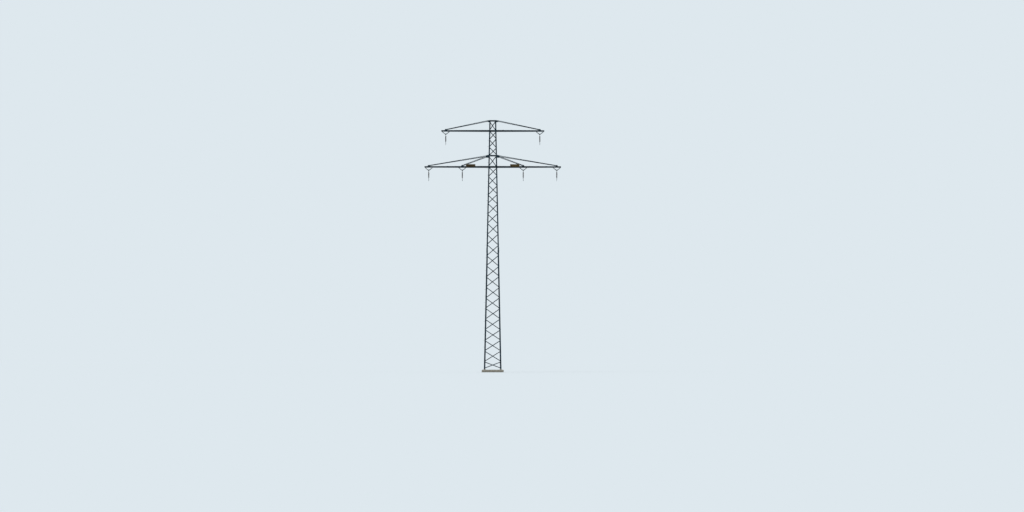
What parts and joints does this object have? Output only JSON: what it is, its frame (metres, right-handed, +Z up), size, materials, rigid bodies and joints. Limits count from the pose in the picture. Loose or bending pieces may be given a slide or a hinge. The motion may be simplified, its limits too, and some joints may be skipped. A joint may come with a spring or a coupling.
{
  "type": "lattice transmission pylon",
  "caption": "Slim square lattice suspension pylon, about 30 m tall, with two crossarms on sloping ties and six long-rod insulator strings in V hangers.",
  "frame": {"origin": "centre of the underside of the foundation block, at the mount base", "axes": "+Z up the mast, X along the crossarms, Y along the line, -Y the side seen in the picture"},
  "size_m": [16.26, 2.6, 30],
  "materials": {
    "concrete": "matte",
    "painted_steel": "satin",
    "galvanised_steel": "matte",
    "porcelain": "gloss",
    "board_enamel": "satin"
  },
  "bodies": {
    "mast": {"foundation_block": "concrete", "leg_lower_front_left": "painted_steel", "leg_lower_front_right": "painted_steel", "leg_lower_back_right": "painted_steel", "leg_lower_back_left": "painted_steel", "leg_upper_front_left": "painted_steel", "leg_upper_front_right": "painted_steel", "leg_upper_back_right": "painted_steel", "leg_upper_back_left": "painted_steel", "bracing_lower_front": "painted_steel", "bracing_lower_right": "painted_steel", "bracing_lower_back": "painted_steel", "bracing_lower_left": "painted_steel", "bracing_upper_front": "painted_steel", "bracing_upper_right": "painted_steel", "bracing_upper_back": "painted_steel", "bracing_upper_left": "painted_steel", "splice_plates": "painted_steel", "mast_frames": "painted_steel", "upper_arm_left": "painted_steel", "upper_arm_right": "painted_steel", "lower_arm_left": "painted_steel", "lower_arm_right": "painted_steel", "upper_ties_left": "painted_steel", "upper_ties_right": "painted_steel", "lower_ties_left": "painted_steel", "lower_ties_right": "painted_steel", "upper_hangers": "painted_steel", "lower_inner_hangers": "painted_steel", "lower_outer_hangers": "painted_steel", "marker_board_left": "board_enamel", "marker_board_right": "board_enamel"},
    "string_upper_left": {"string_upper_left_fittings": "galvanised_steel", "string_upper_left_insulator": "porcelain"},
    "string_upper_right": {"string_upper_right_fittings": "galvanised_steel", "string_upper_right_insulator": "porcelain"},
    "string_inner_left": {"string_inner_left_fittings": "galvanised_steel", "string_inner_left_insulator": "porcelain"},
    "string_inner_right": {"string_inner_right_fittings": "galvanised_steel", "string_inner_right_insulator": "porcelain"},
    "string_outer_left": {"string_outer_left_fittings": "galvanised_steel", "string_outer_left_insulator": "porcelain"},
    "string_outer_right": {"string_outer_right_fittings": "galvanised_steel", "string_outer_right_insulator": "porcelain"}
  },
  "joints": [
    {"name": "swing_upper_left", "type": "hinge", "parent": "mast", "child": "string_upper_left", "pos_m": [-5.61, 0, 28.29], "axis": [0, 1, 0], "range_deg": [-50, 50]},
    {"name": "swing_upper_right", "type": "hinge", "parent": "mast", "child": "string_upper_right", "pos_m": [5.61, 0, 28.29], "axis": [0, 1, 0], "range_deg": [-50, 50]},
    {"name": "swing_inner_left", "type": "hinge", "parent": "mast", "child": "string_inner_left", "pos_m": [-3.63, 0, 23.98], "axis": [0, 1, 0], "range_deg": [-50, 50]},
    {"name": "swing_inner_right", "type": "hinge", "parent": "mast", "child": "string_inner_right", "pos_m": [3.63, 0, 23.98], "axis": [0, 1, 0], "range_deg": [-50, 50]},
    {"name": "swing_outer_left", "type": "hinge", "parent": "mast", "child": "string_outer_left", "pos_m": [-7.63, 0, 23.98], "axis": [0, 1, 0], "range_deg": [-50, 50]},
    {"name": "swing_outer_right", "type": "hinge", "parent": "mast", "child": "string_outer_right", "pos_m": [7.63, 0, 23.98], "axis": [0, 1, 0], "range_deg": [-50, 50]}
  ]
}
